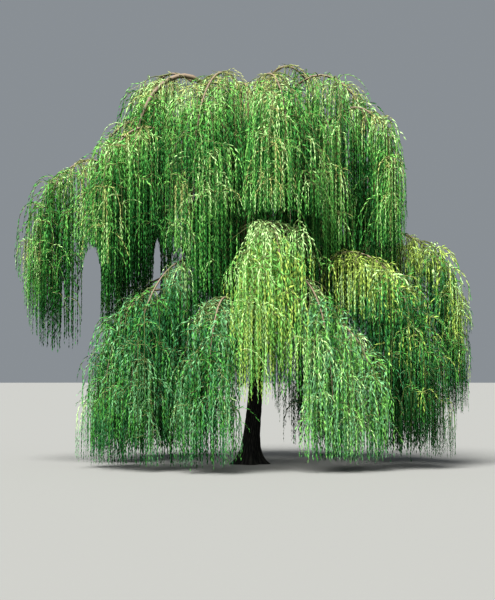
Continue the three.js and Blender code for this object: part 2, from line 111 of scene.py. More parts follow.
# %% Masses
SIZES = ("azimuth", "inner", "reach", "crest", "hem", "half", "parent", "at", "root")
ROWS = dict(
    crown_left=(197, 1.35, 3.55, 10.05, 4.0, 1.25, "trunk", 0.92, 0.112),
    crown_right=(350, 1.45, 3.75, 10.1, 2.8, 1.25, "trunk", 0.88, 0.104),
    crown_back=(95, 0.9, 3.3, 10.2, 4.8, 1.3, "trunk", 0.86, 0.082),
    shoulder_far_left=(178, 3.8, 5.9, 7.95, 2.9, 1.15, "trunk", 0.8, 0.088),
    front_centre=(283, 1.6, 4.2, 6.1, 1.6, 2.2, "trunk", 0.74, 0.066),
    skirt_right=(354, 3.5, 5.55, 5.95, 1.3, 1.05, "trunk", 0.78, 0.084),
    skirt_back=(97, 2.6, 5.0, 4.6, 1.9, 1.1, "trunk", 0.72, 0.062),
    crown_front_left=(238, 0.7, 3.0, 10.05, 3.1, 1.45, "crown_left", 0.5, 0.055),
    crown_front_right=(291, 0.9, 3.15, 9.95, 3.9, 1.35, "crown_right", 0.5, 0.058),
    crown_top=(20, 0.85, 2.2, 10.48, 7.0, 1.0, "crown_back", 0.6, 0.046),
    crown_back_left=(156, 1.9, 3.85, 10.4, 5.0, 1.2, "crown_back", 0.5, 0.052),
    crown_back_right=(46, 1.0, 3.3, 9.7, 4.2, 1.2, "crown_right", 0.42, 0.056),
    shoulder_left=(204, 2.45, 4.55, 8.6, 4.0, 1.05, "shoulder_far_left", 0.45, 0.052),
    shoulder_left_top=(178, 2.7, 4.4, 8.95, 5.2, 0.95, "crown_left", 0.38, 0.048),
    shoulder_right=(342, 2.6, 4.05, 9.15, 3.9, 0.95, "crown_right", 0.6, 0.046),
    shoulder_back_left=(150, 3.0, 5.0, 7.5, 3.3, 1.1, "crown_back", 0.34, 0.054),
    shoulder_back=(96, 3.0, 5.1, 7.3, 2.9, 1.15, "crown_back", 0.44, 0.05),
    shoulder_back_right=(36, 3.0, 5.0, 7.6, 3.3, 1.1, "crown_right", 0.3, 0.056),
    skirt_left=(209, 2.1, 4.55, 4.45, 0.06, 0.95, "shoulder_far_left", 0.18, 0.056),
    skirt_front_left=(226, 1.5, 4.75, 5.2, 0.08, 1.0, "front_centre", 0.2, 0.046),
    skirt_front=(256, 1.9, 4.6, 4.2, 0.1, 1.0, "front_centre", 0.36, 0.04),
    skirt_front_right=(298, 2.0, 4.7, 4.7, 0.2, 0.92, "front_centre", 0.3, 0.042),
    slope_right=(318, 2.3, 4.7, 3.6, 0.15, 0.8, "skirt_right", 0.2, 0.044),
    skirt_right_front=(334, 2.3, 5.35, 5.4, 0.2, 1.05, "skirt_right", 0.36, 0.046),
    skirt_back_right=(20, 2.3, 5.25, 5.2, 0.2, 1.05, "skirt_right", 0.28, 0.046),
    skirt_far_back_right=(60, 2.6, 5.1, 5.2, 0.25, 1.05, "skirt_back", 0.3, 0.042),
    skirt_back_left=(131, 2.6, 5.0, 4.7, 0.2, 1.05, "skirt_back", 0.24, 0.044),
    skirt_far_left=(168, 1.7, 4.1, 4.9, 0.12, 0.95, "shoulder_far_left", 0.28, 0.046),
)
LEAVE = 42
OWN_SIZES = dict(
    crown_left=dict(tip=0.07, leave=72),
    crown_right=dict(leave=72),
    crown_back=dict(leave=72),
    shoulder_far_left=dict(leave=48),
)
MASSES = {name: dict(zip(SIZES, row), **OWN_SIZES.get(name, {})) for name, row in ROWS.items()}
NAMES = list(MASSES)
COUNT = len(NAMES)


def column(size):
    """One size of every mass, as an array in the order of the table."""
    return np.array([mass[size] for mass in MASSES.values()], float)


azimuth = np.radians(column("azimuth"))
inner, reach, half = column("inner"), column("reach"), column("half")
crest, hem = column("crest"), column("hem")
outward = np.stack([np.cos(azimuth), np.sin(azimuth), np.zeros(COUNT)], axis=1)
print(COUNT, "masses, the highest at", crest.max(), "m and the widest reaching", reach.max(), "m")

# %% [markdown]
# How a shoot weeps
#
# A willow shoot starts at its own pitch and bends under its weight until it hangs straight down. A
# hanging chain would be the law for a rope held at both ends, but a shoot is held at one end and
# stiff at its root, so its pitch closes on straight down by the same share for every turning length
# that it grows. Every shoot here, from the stems of the masses to the finest strands, follows that one
# law, computed for thousands of shoots at a time. The chances that make each shoot different come
# from a formula of three whole numbers: the mass, the twig, and the use that the chance is put to. So
# each shoot is always the same. Lengths are in metres, and a pitch is in radians above the level.

# %% Chance and the weeping law
DOWN = -np.pi / 2
GOLDEN = 0.618034
GOLDEN_ANGLE = 2 * np.pi * (1 - GOLDEN)


def chance(mass, twig, use):
    """The fraction left of sin(12.9898 (mass + 1) + 78.233 twig + 37.719 use) times 43758.5453."""
    wave = np.sin((mass + 1) * 12.9898 + twig * 78.233 + use * 37.719) * 43758.5453
    return wave - np.floor(wave)


def between(limits, share):
    """The value at that share of the way from the first limit to the second."""
    return limits[0] + (limits[1] - limits[0]) * share


def weep(start, heading, pitch, turning, length, steps):
    """Paths of shape (shoots, steps + 1, 3).

    The pitch at a distance s is down + (pitch - down) e^(-s / turning), and a path is the running
    sum of its steps along that pitch and its heading.
    """
    step = length / steps
    distance = step[:, None] * (np.arange(steps) + 0.5)
    angle = DOWN + (pitch - DOWN)[:, None] * np.exp(-distance / turning[:, None])
    level = np.cos(angle)
    ahead = np.stack(
        [level * np.cos(heading)[:, None], level * np.sin(heading)[:, None], np.sin(angle)], axis=2
    )
    walked = np.cumsum(ahead * step[:, None, None], axis=1)
    return start[:, None, :] + np.concatenate([np.zeros((len(start), 1, 3)), walked], axis=1)


def read_off(places, numbers, points):
    """The points at these places of a path whose points have these numbers, straight between them."""
    return np.stack([np.interp(places, numbers, points[:, axis]) for axis in range(3)], axis=-1)


print("The first chances:", np.round(chance(0, np.arange(4), 1), 3))

# %% [markdown]
# The stems
#
# Each mass has a stem that arches over at the crest and hangs down its outer face. Its bough arrives
# at the start of that stem, so the stems are worked out first and the boughs after them. The weeping
# law is linear in size, so one path with a turning length of 1 tells how wide every arch will be,
# and each stem's own turning length follows from the width that it has to cross. The arch of the
# crown's left stem is bare for a metre and a half, as it is in the picture.

# %% Stems
STEPS = 24
TIP_PITCH = np.radians(40)
STEM = dict(spread=0.86, arch=1.1, fall=0.64, straight_after=6, root=0.03, tip=0.012)
PICKED = [0, 2, 5, 8, 12, 17, 24]
BARE = dict(crown_left=1.5)

one = np.ones(1)
spread_of_one = weep(
    np.zeros((1, 3)), 0 * one, TIP_PITCH * one, one, STEM["straight_after"] * one, STEPS
)[0, -1, 0]
stem_turning = (reach - inner) * STEM["spread"] / spread_of_one
stem_length = stem_turning * STEM["arch"] + (crest - hem) * STEM["fall"]
stems = weep(
    outward * inner[:, None], azimuth, np.full(COUNT, TIP_PITCH), stem_turning, stem_length, STEPS
)
stems[:, :, 2] += (crest - stems[:, :, 2].max(axis=1))[:, None]
print("Stems of", round(stem_length.min(), 1), "to", round(stem_length.max(), 1), "m")

# %% [markdown]
# The axes of trunk and boughs
#
# The trunk's axis leans, and its radius is known at a few heights. A bough was once a shoot and has
# thickened since, so it leaves its parent at an open angle and comes in along the way that the stem
# goes on. A cubic curve does both with two handles, and drawing it through equal distances keeps its
# taper even.

# %% Axes of the limbs
TRUNK = dict(lean=0.09, radius=0.17, widening=0.06, widening_height=1.2, flare=0.26, flare_height=0.24,
             lobes=5, lobe_depth=0.16, lobe_turn=0.9)
TRUNK_RINGS = np.array([-0.09, 0.06, 0.15, 0.27, 0.43, 0.7, 1.1, 1.6, 2.1, 2.6, 3.0, 3.22, 3.3])
BOUGH = dict(tip=0.03, root_pull=0.36, tip_pull=0.3, root_share=0.85, rings=97, sides=28)
CURVE_POINTS = 200


def trunk_radius(height):
    """radius + widening e^(-height / widening height) + flare e^(-height / flare height)."""
    return (
        TRUNK["radius"]
        + TRUNK["widening"] * np.exp(-height / TRUNK["widening_height"])
        + TRUNK["flare"] * np.exp(-height / TRUNK["flare_height"])
    )


def cubic(root, root_handle, tip_handle, tip, share):
    """(1-t)^3 root + 3(1-t)^2 t handle + 3(1-t) t^2 handle + t^3 tip, for each share t."""
    t = share[:, None]
    return (
        (1 - t) ** 3 * root
        + 3 * (1 - t) ** 2 * t * root_handle
        + 3 * (1 - t) * t**2 * tip_handle
        + t**3 * tip
    )


def spaced(points, count):
    """The same path through count points at equal distances along it."""
    walked = np.append(0, np.cumsum(np.linalg.norm(np.diff(points, axis=0), axis=1)))
    return read_off(np.linspace(0, walked[-1], count), walked, points)


def bough_axis(mass, parent, stem):
    """The cubic curve from the parent's axis to the first point of the mass's stem, and its radii."""
    root = read_off(mass["at"] * (len(parent[0]) - 1), np.arange(len(parent[0])), parent[0])
    tip = stem[0]
    last_way = (stem[1] - stem[0]) / np.linalg.norm(stem[1] - stem[0])
    distance = np.linalg.norm(tip - root)
    level = (tip - root) * [1, 1, 0]
    leave = np.radians(mass.get("leave", LEAVE))
    root_way = level / np.linalg.norm(level) * np.cos(leave) + np.array([0, 0, np.sin(leave)])
    curve = cubic(
        root,
        root + root_way * distance * BOUGH["root_pull"],
        tip - last_way * distance * BOUGH["tip_pull"],
        tip,
        np.linspace(0, 1, CURVE_POINTS),
    )
    parent_radius = np.interp(mass["at"], np.linspace(0, 1, len(parent[1])), parent[1])
    root_radius = min(mass["root"], BOUGH["root_share"] * parent_radius)
    tip_radius = mass.get("tip", BOUGH["tip"])
    return spaced(curve, BOUGH["rings"]), np.linspace(root_radius, tip_radius, BOUGH["rings"])


trunk_axis = np.stack([TRUNK["lean"] * TRUNK_RINGS, 0 * TRUNK_RINGS, TRUNK_RINGS], axis=1)
limbs = {"trunk": (trunk_axis, trunk_radius(TRUNK_RINGS))}
for number, (name, mass) in enumerate(MASSES.items()):
    limbs[name] = bough_axis(mass, limbs[mass["parent"]], stems[number])
print("Axes of", len(limbs), "limbs")

# %% [markdown]
# Turning arrays into meshes
#
# Blender can build a mesh from Python lists, but for a million corners it is much quicker to hand
# over whole arrays with foreach_set. One helper does that, and two more give the corners and faces of
# closed tubes round many paths at once. A tube needs cross directions that don't twist, so each pair
# is the pair before it, laid square to the path again.

# %% Mesh helpers
FIRST_ACROSS = [0.31, 0.95, 0.05]


def make_piece(name, corners, faces, materials, shade=None, smooth=True, relief=None):
    """An object whose mesh holds these corners and groups of faces, each group with its own number
    of corners to a face. shade is the number of each face's material, and relief is stored at the
    corners."""
    mesh = bpy.data.meshes.new(name)
    mesh.vertices.add(len(corners))
    mesh.vertices.foreach_set("co", corners.astype(np.float32).ravel())
    around = np.concatenate([group.ravel() for group in faces]).astype(np.int32)
    sizes = np.concatenate([np.full(len(group), group.shape[1]) for group in faces])
    mesh.loops.add(len(around))
    mesh.loops.foreach_set("vertex_index", around)
    mesh.polygons.add(len(sizes))
    mesh.polygons.foreach_set("loop_start", np.append(0, np.cumsum(sizes)[:-1]).astype(np.int32))
    for material in materials:
        mesh.materials.append(material)
    if shade is not None:
        mesh.polygons.foreach_set("material_index", shade.astype(np.int32))
    mesh.polygons.foreach_set("use_smooth", np.full(len(sizes), smooth))
    if relief is not None:
        mesh.attributes.new("relief", "FLOAT", "POINT").data.foreach_set("value", relief.ravel())
    mesh.update(calc_edges=True)
    mesh.validate()
    piece = add_object(name, mesh)
    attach(piece, "root")
    return piece


def angles_round(sides):
    """This many equal angles all the way round."""
    return np.arange(sides) * 2 * np.pi / sides


def square_to(ahead, way):
    """A way less its share along ahead, made one long again."""
    way = way - (way * ahead).sum(axis=1, keepdims=True) * ahead
    return way / np.linalg.norm(way, axis=1, keepdims=True)


def frames_along(paths):
    """(across, aside) at every point of every path, square to the way ahead there: across is made
    from the one before it, and aside is ahead x across."""
    ahead = np.gradient(paths, axis=1)
    ahead /= np.linalg.norm(ahead, axis=2, keepdims=True)
    across = np.empty_like(paths)
    way = np.broadcast_to(FIRST_ACROSS, paths[:, 0].shape)
    for ring in range(paths.shape[1]):
        across[:, ring] = way = square_to(ahead[:, ring], way)
    return across, np.cross(ahead, across)


def rings_round(paths, radii, sides):
    """axis + radius (cos a across + sin a aside), for each path, ring and angle a. radii has a radius
    for each path, ring and angle, or 1 in place of their number."""
    across, aside = frames_along(paths)
    angle = angles_round(sides)
    ring = np.cos(angle)[:, None] * across[:, :, None] + np.sin(angle)[:, None] * aside[:, :, None]
    return paths[:, :, None] + radii[..., None] * ring


def tube_faces(tubes, rings, sides, root_pole=True):
    """Quads between neighbouring rings, then what closes the root, triangles to a pole or one flat
    face, and triangles to the pole at the tip. A tube's corners are numbered ring by ring, then its
    root pole, if it has one, then its tip pole."""
    tip_pole = rings * sides + (1 if root_pole else 0)
    side = np.arange(sides)
    beyond = (side + 1) % sides
    level = np.arange(rings - 1)[:, None] * sides
    last = (rings - 1) * sides
    walls = [level + side, level + beyond, level + beyond + sides, level + side + sides]
    root = [beyond, side, np.full(sides, rings * sides)] if root_pole else side[::-1]
    tip = [last + side, last + beyond, np.full(sides, tip_pole)]
    first = (np.arange(tubes) * (tip_pole + 1))[:, None, None]
    faces = []
    for group in (walls, root, tip):
        one_tube = np.stack(group, axis=-1)
        around = one_tube.shape[-1]
        faces.append((first + one_tube.reshape(1, -1, around)).reshape(-1, around))
    return faces


print("Helpers are ready")

# %% [markdown]
# Bark
#
# Old willow bark is a net of thick ridges that part and join again, with deep furrows between them.
# A bump map alone would leave the outline smooth, so the furrows are cut into the surface. Two
# families of slanting furrows, one climbing to the left and one to the right, cross into long
# diamonds; slow waves added to both make no two diamonds alike. The same height is stored with the
# mesh, so that the colour can be darker in the furrows, as painted shade, and greyer on the worn
# ridges.

# %% Bark relief
SLOW_WAVES = (1.1, 2, 0.37, 1), (0.7, 5, -0.61, 2)
QUICK_WAVES = (0.5, 9, 1.7, 3), (0.35, 17, -2.9, 1)
OTHER_WAY = 0.8
RIDGE_POWER = 0.4
MEAN_RELIEF, POLE_RELIEF = 0.85, 0.5
BARK_ROUGHNESS, BARK_SHINE = 0.92, 0.25
FIBRE_STRETCH = (1.0, 1.0, 0.22)
DULL, BRIGHT = (0.62, 0.62, 0.6, 1), (1.15, 1.1, 1.02, 1)
RELIEF_STOPS, BLOTCH_STOPS = (0.1, 0.6, 0.98), (0.35, 0.7)
MIX_FIRST, MIX_SECOND, MIX_RESULT = 6, 7, 2


def waves(table, angle, height, phase):
    """The sum of size x sin(turns x angle + slant x height + shift x phase) over the table's rows."""
    return sum(
        size * np.sin(turns * angle + slant * height + shift * phase)
        for size, turns, slant, shift in table
    )


def bark_relief(angle, height, ridges, rise, phase):
    """From 0 in a furrow to 1 on a ridge: |sin A sin B| to the ridge power, where A and B are half of
    ridges x angle plus and minus the climb 2 pi height / rise, each with waves added."""
    climb = 2 * np.pi * height / rise
    slow = waves(SLOW_WAVES, angle, climb, phase)
    quick = waves(QUICK_WAVES, angle, climb, phase)
    left = np.abs(np.sin(0.5 * (ridges * angle + climb + slow + quick)))
    right = np.abs(np.sin(0.5 * (ridges * angle - climb - OTHER_WAY * slow + quick)))
    return (left * right) ** RIDGE_POWER


def node(tree, kind, **settings):
    """A new shader node with these settings, each the node's own or else the value of a socket."""
    made = tree.nodes.new(kind)
    for key, value in settings.items():
        if hasattr(made, key):
            setattr(made, key, value)
        else:
            made.inputs[key.replace("_", " ").title()].default_value = value
    return made


def linear(red, green, blue):
    """A colour seen as these parts of 255, as the linear light that shaders reckon in."""
    seen = np.array([red, green, blue]) / 255
    light = np.where(seen <= 0.04045, seen / 12.92, ((seen + 0.055) / 1.055) ** 2.4)
    return (*light, 1.0)


def plain_material(name, colour, roughness, shine):
    """One plain colour, given as linear light, under a soft gloss."""
    material = bpy.data.materials.new(name)
    material.use_nodes = True
    shader = material.node_tree.nodes["Principled BSDF"]
    shader.inputs["Base Color"].default_value = colour
    shader.inputs["Roughness"].default_value = roughness
    shader.inputs["Specular IOR Level"].default_value = shine
    return material


def colour_ramp(tree, places, colours):
    """A new node that turns a number into these colours at these places."""
    made = tree.nodes.new("ShaderNodeValToRGB")
    stops = made.color_ramp.elements
    while len(stops) < len(places):
        stops.new(1)
    for stop, place, colour in zip(stops, places, colours):
        stop.position = place
        stop.color = colour
    return made


def bark_material(name, furrow, ridge, worn, grain):
    """Furrow to ridge by the stored relief, so the furrows are dark with painted shade, blotched by a
    broad noise, with a fine fibrous bump.
    """
    material = plain_material(name, linear(*ridge), BARK_ROUGHNESS, BARK_SHINE)
    tree = material.node_tree
    shader = tree.nodes["Principled BSDF"]
    relief = node(tree, "ShaderNodeAttribute", attribute_name="relief")
    # The ramp darkens the furrows as painted shade and greys the worn ridges.
    depth = colour_ramp(tree, RELIEF_STOPS, [linear(*seen) for seen in (furrow, ridge, worn)])
    place = node(tree, "ShaderNodeTexCoord")
    stretch = node(tree, "ShaderNodeMapping", scale=FIBRE_STRETCH)
    blotch = node(tree, "ShaderNodeTexNoise", scale=7.0, detail=6.0, roughness=0.62)
    fibre = node(tree, "ShaderNodeTexNoise", scale=grain, detail=8.0, roughness=0.7)
    tone = colour_ramp(tree, BLOTCH_STOPS, (DULL, BRIGHT))
    mix = node(tree, "ShaderNodeMix", data_type="RGBA", blend_type="MULTIPLY", factor=1.0)
    bump = node(tree, "ShaderNodeBump", strength=0.7, distance=0.006)
    for source, output, target, socket in (
        (relief, "Fac", depth, "Fac"),
        (place, "Object", blotch, "Vector"),
        (place, "Object", stretch, "Vector"),
        (stretch, "Vector", fibre, "Vector"),
        (blotch, "Fac", tone, "Fac"),
        (depth, "Color", mix, MIX_FIRST),
        (tone, "Color", mix, MIX_SECOND),
        (mix, MIX_RESULT, shader, "Base Color"),
        (fibre, "Fac", bump, "Height"),
        (bump, "Normal", shader, "Normal"),
    ):
        tree.links.new(source.outputs[output], target.inputs[socket])
    return material


# The trunk's bark is its own dark grey made darker still as painted shade for the deep shade under the
# crown, so it is much darker than the boughs' bark.
old_bark_with_painted_shade = bark_material("old_bark_with_painted_shade", (6, 7, 7), (21, 23, 23), (44, 45, 43), 60.0)
bough_bark = bark_material("bough_bark", (40, 33, 26), (88, 78, 62), (128, 118, 96), 90.0)
print("Bark of two ages")

# %% [markdown]
# The trunk
#
# The trunk is a surface of two parameters, the angle round it and the height. Its radius is the sum of
# a steady part and two parts that die away with height, the slow widening and the quick flare of the
# roots; the flare's lobes are a cosine of the angle. The axis leans, so each level ring moves
# sideways with its height. Two slow waves make the trunk a little knotty. The ring at the ground is
# level, and the top closes to a rounded crotch between the boughs.

# %% Trunk
TRUNK_SIDES, TRUNK_LEVELS = 240, 330
CLOSER_LOW_DOWN = 1.15
TRUNK_TOP = TRUNK_RINGS[-1]
OLD_BARK = dict(ridges=23, rise=0.62, phase=0.7)
BARK_DEPTH = 0.026
KNOTS = (0.03, 2, 1.9, 0), (0.02, 3, -4.1, 1)
CROTCH, ALMOST_CLOSED = 0.16, 0.999

angle = angles_round(TRUNK_SIDES)
height = (TRUNK_TOP * np.linspace(0, 1, TRUNK_LEVELS) ** CLOSER_LOW_DOWN)[:, None]
relief = bark_relief(angle, height, **OLD_BARK)
lobe = 1 + TRUNK["lobe_depth"] * np.exp(-height / (2 * TRUNK["flare_height"])) * np.cos(
    TRUNK["lobes"] * angle + TRUNK["lobe_turn"]
)
knots = 1 + waves(KNOTS, angle, height, 1)
closing = np.sqrt(1 - np.clip((height - TRUNK_TOP + CROTCH) / CROTCH, 0, ALMOST_CLOSED) ** 2)
bark = BARK_DEPTH * (relief - MEAN_RELIEF)
radius = (trunk_radius(height) * lobe * knots + bark) * closing
east = TRUNK["lean"] * height + radius * np.cos(angle)
trunk_surface = np.stack([east, radius * np.sin(angle), height + 0 * angle], axis=-1)
poles = np.array([[0, 0, 0], [TRUNK["lean"] * TRUNK_TOP, 0, TRUNK_TOP]])
trunk = make_piece(
    "trunk_bark",
    np.concatenate([trunk_surface.reshape(-1, 3), poles]),
    tube_faces(1, TRUNK_LEVELS, TRUNK_SIDES),
    [old_bark_with_painted_shade],
    relief=np.append(relief, [POLE_RELIEF] * 2),
)
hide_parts("trunk")
print("The trunk is", round(2 * float(radius[0].max()), 2), "m across its root flare")

# %% [markdown]
# The boughs
#
# A bough is a tube round its curved axis that tapers evenly, with a collar where it leaves its parent.
# Its bark is younger, with furrows that are a share of its radius, so they fade towards the tip. All
# boughs are one array of (boughs, rings, sides), because they differ only in axis and radius.

# %% Boughs as one piece
COLLAR, COLLAR_LENGTH = 0.3, 0.25
YOUNG_BARK = dict(ridges=11, rise=0.5)
YOUNG_BARK_SHARE = 0.14

bough_paths = np.stack([limbs[name][0] for name in NAMES])
bough_radii = np.stack([limbs[name][1] for name in NAMES])
bough_lengths = np.linalg.norm(np.diff(bough_paths, axis=1), axis=2).sum(axis=1)
along = np.linspace(0, 1, BOUGH["rings"])[None, :] * bough_lengths[:, None]
angle = angles_round(BOUGH["sides"])
phases = np.arange(COUNT)[:, None, None]
relief = bark_relief(angle, along[:, :, None], phase=phases, **YOUNG_BARK)
collar = 1 + COLLAR * np.exp(-along / COLLAR_LENGTH)
radii = (bough_radii * collar)[:, :, None] * (1 + YOUNG_BARK_SHARE * (relief - MEAN_RELIEF))
bough_walls = rings_round(bough_paths, radii, BOUGH["sides"]).reshape(COUNT, -1, 3)
boughs = make_piece(
    "boughs_bark",
    np.concatenate([bough_walls, bough_paths[:, :1], bough_paths[:, -1:]], axis=1).reshape(-1, 3),
    tube_faces(COUNT, BOUGH["rings"], BOUGH["sides"]),
    [bough_bark],
    relief=np.concatenate([relief.reshape(COUNT, -1), np.full((COUNT, 2), POLE_RELIEF)], axis=1),
)
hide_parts(*[f"bough_{name}" for name in NAMES])
print(COUNT, "boughs,", round(bough_lengths.sum()), "m of them in all")

# %% [markdown]
# The space of a mass
#
# Foliage that grew wherever it liked would fill the tree to one green lump. So each mass owns a space:
# an oval in plan, drawn out towards the trunk, under a top that falls off towards its rim, down to a
# ragged hem that is lifted at the rim of the crown and shoulders. A point belongs to the mass whose
# middle it is nearest to, counted in shares of that mass's size. A shoot stops where it would leave
# its mass's space, come too near a limb, or hang across one of the oval gaps in which the picture
# shows the background, as seen from the viewer's place.

# %% Space rules
RIM, HALF_DEPTH, INWARDS, ABOVE, TOP_DROP = 1.1, 0.56, 0.72, 0.06, 0.5
LIFT_POWER = 4
HEM_WAVES, HEM_QUICKER = (2.3, 3.1), 2.7
RAGGED = dict(crown=0.12, shoulder=0.12, front=0.12, skirt=0.03, slope=0.03)
RIM_LIFT = dict(crown=0.05, shoulder=0.24)
GAPS_SEEN = dict(
    under_left_shoulder=dict(x=(-4.35, -3.85), z=(3.9, 5.6)),
    beside_left_shoulder=dict(x=(-2.48, -2.3), z=(4.4, 5.8)),
    beside_trunk=dict(x=(0.3, 0.85), z=(-1.5, 1.6)),
)
EVERY_RING = 12

kinds = [name.split("_")[0] for name in NAMES]


def by_kind(table, otherwise=0):
    """The table's number for every mass, by its kind."""
    return np.array([table.get(kind, otherwise) for kind in kinds])


rim_lift, raggedness = by_kind(RIM_LIFT), by_kind(RAGGED)


def ragged(points, mass):
    """How far the hem is lifted above its lowest, as a share of the mass's height: the square of
    half of 1 + sin (A + sin of a quicker A), where A grows across the plan from each mass's own
    phase."""
    east, north = points[:, 0], points[:, 1]
    slow = HEM_WAVES[0] * east + HEM_WAVES[1] * north + mass
    wave = np.sin(slow + np.sin(HEM_QUICKER * slow))
    return raggedness[mass] * (0.5 + 0.5 * wave) ** 2


def rim_share(points):
    """Each point's share of the way from the middle of every mass to its rim, as an array of shape
    (points, masses): the length of (way out or in / half the depth, way aside / half)."""
    east, north = points[:, 0, None], points[:, 1, None]
    outwards = east * outward[:, 0] + north * outward[:, 1]
    sideways = north * outward[:, 0] - east * outward[:, 1]
    depth = ((outwards - inner) / (reach - inner) - 0.5) / HALF_DEPTH
    depth = np.where(depth < 0, INWARDS, 1) * depth
    return np.hypot(depth, sideways / half)


def in_own_space(points, mass, margin):
    """True where a point is in its mass's space: its share of the way from the middle to the rim is
    under RIM and under every other mass's share there, and it lies between the hem and the top."""
    up = points[:, 2, None]
    share = rim_share(points)
    row = np.arange(len(points))
    own = share[row, mass]
    lift = ragged(points, mass) + rim_lift[mass] * own**LIFT_POWER
    lowest = hem[mass] + (crest - hem)[mass] * lift
    within = (own <= RIM) & (points[:, 2] >= lowest) & (points[:, 2] <= crest[mass] + ABOVE)
    there = (up >= hem - ABOVE) & (up <= crest + 2 * ABOVE - TOP_DROP * share**2)
    nearer = there & (share <= own[:, None] + margin)
    nearer[row, mass] = False
    return within & ~nearer.any(axis=1)


def in_gap_seen(points):
    """True where the line of sight through a point meets the plane of the trunk within a gap."""
    scale = VIEWPOINT[1] / (VIEWPOINT[1] - points[:, 1])
    x = VIEWPOINT[0] + (points[:, 0] - VIEWPOINT[0]) * scale
    z = VIEWPOINT[2] + (points[:, 2] - VIEWPOINT[2]) * scale
    inside = [
        (2 * (x - np.mean(gap["x"])) / np.ptp(gap["x"])) ** 2
        + (2 * (z - np.mean(gap["z"])) / np.ptp(gap["z"])) ** 2 < 1
        for gap in GAPS_SEEN.values()
    ]
    return np.any(inside, axis=0)


def limb_distance(points, axis, radii):
    """Each point's distance from the surface of one limb: from the nearest point of each stretch of
    the axis, which is at a share of (point - start) . way / way . way, less the radius there."""
    start, way = axis[:-1], np.diff(axis, axis=0)
    from_start = points[:, None, :] - start
    share = np.clip((from_start * way).sum(axis=2) / (way**2).sum(axis=1), 0, 1)
    apart = np.linalg.norm(from_start - share[..., None] * way, axis=2)
    return (apart - radii[:-1]).min(axis=1)


def clear_of(points, obstacles, clearance):
    """True where a point keeps that clearance from the surface of every obstacle."""
    free = np.ones(len(points), bool)
    for axis, radii in obstacles:
        free[free] = limb_distance(points[free], axis, radii) > clearance
    return free


obstacles = [limbs["trunk"], *[[part[::EVERY_RING] for part in limbs[name]] for name in NAMES]]
print("Space rules for", COUNT, "masses and", len(obstacles), "limbs")

# %% [markdown]
# Withies
#
# From each stem many withies leave to the left and right in turn, arch outwards a little and hang to
# the hem. The frame has four of them to a mass; here the same rule goes on counting, and the golden
# section spreads them evenly along the stem however many there are. The larger a mass's curtain is,
# the more it gets, and the low masses are the fullest. The allowed part of each withy is measured
# first, and it is then grown again at just that length.

# %% Grow the withies
WITHY = dict(all=720, along=(0.12, 0.97), start=0.31, aside=(0.5, 2.0), turning=(0.2, 0.62), arch=0.55,
             fall=(0.74, 0.99), pitch=np.radians(24), root=0.75, steps=36, shortest=0.5,
             margin=0.03, clearance=0.05, picked=[0, 2, 4, 7, 11, 17, 26, 36])
FULLER = dict(front=1.15, skirt=1.45, slope=1.45)
Shoots = namedtuple("Shoots", "paths length mass heading tone top")


def grow(start, heading, pitch, turning, length, mass, tone, top, rule):
    """(shoots, kept): the shoots as far as every point of each is allowed, and which of those asked
    for they are."""
    shape = (start, heading, pitch, turning)
    points = weep(*shape, length, rule["steps"]).reshape(-1, 3)
    owner = np.repeat(mass, rule["steps"] + 1)
    allowed = in_own_space(points, owner, rule["margin"]) & ~in_gap_seen(points)
    allowed[allowed] = clear_of(points[allowed], obstacles, rule["clearance"])
    allowed = allowed.reshape(-1, rule["steps"] + 1)
    allowed[:, 0] = True
    length = length * (np.cumprod(allowed, axis=1).sum(axis=1) - 1) / rule["steps"]
    kept = np.flatnonzero(length > rule["shortest"])
    paths = weep(*[part[kept] for part in shape], length[kept], rule["steps"])
    return Shoots(paths, *[part[kept] for part in (length, mass, heading, tone, top)]), kept


def counted(each):
    """(owner, number) of every shoot, when owners have so many each. Each owner's count from 0."""
    owner = np.repeat(np.arange(len(each)), each)
    return owner, np.arange(len(owner)) - np.repeat(np.cumsum(each) - each, each)


curtain = (reach - inner + 2 * half) * (crest - hem) * by_kind(FULLER, 1)
each = np.round(WITHY["all"] * curtain / curtain.sum()).astype(int)
mass, number = counted(each)
share = between(WITHY["along"], (WITHY["start"] + number * GOLDEN) % 1)
stem_place = np.interp(share * (len(PICKED) - 1), np.arange(len(PICKED)), PICKED)
lower = np.minimum(stem_place.astype(int), STEPS - 1)
step_share = (stem_place - lower)[:, None]
start = stems[mass, lower] * (1 - step_share) + stems[mass, lower + 1] * step_share
side = np.where(number % 2, 1, -1)
heading = azimuth[mass] + side * between(WITHY["aside"], chance(mass, number, 1))
turning = half[mass] * between(WITHY["turning"], chance(mass, number, 2))
fall = (start[:, 2] - hem[mass]) * between(WITHY["fall"], chance(mass, number, 3))
tone = chance(mass, number, 4)
pitch = np.full(len(mass), WITHY["pitch"])
wanted = turning * WITHY["arch"] + fall
withies, kept = grow(start, heading, pitch, turning, wanted, mass, tone, start[:, 2], WITHY)
withy_root = between((STEM["root"], STEM["tip"]), share[kept]) * WITHY["root"]
print(len(kept), "withies of", round(withies.length.mean(), 1), "m on average")

# %% [markdown]
# Branchlets
#
# A withy doesn't hang as one even curtain. Every metre or so it throws out a whorl of branchlets that
# rise, arch over on all sides and hang, so that each whorl is a small dome. The domes lie over one
# another like shingles, and their lit tops above dark hollows are what gives a willow its tiers. A
# whorl spreads evenly over most of a circle and opens away from the trunk, and each has its own size;
# those of the crown hang longest. Stems and the ends of boughs bear whorls too, close together.

# %% Grow the branchlets
BRANCHLET = dict(shoots=5, fan=5.0, pitch=(0.3, 1.0), turning=(0.12, 0.34), size=(0.85, 2.1),
                 length=(0.8, 1.9), own_length=(0.8, 1.1), shuffle=0.12, steps=12, shortest=0.3,
                 clearance=0.03, root=0.006, picked=[0, 2, 4, 7, 12])
ON_WITHIES = dict(every=1.1, margin=-0.1)
ON_LIMBS = dict(every=0.4, margin=-0.6)
LONGER = dict(crown=1.7, shoulder=1.4, front=1.2)
TRESS_TONE, STEM_TONE = 0.55, 0.4
BOUGH_END = 0.3

longer = by_kind(LONGER, 1)


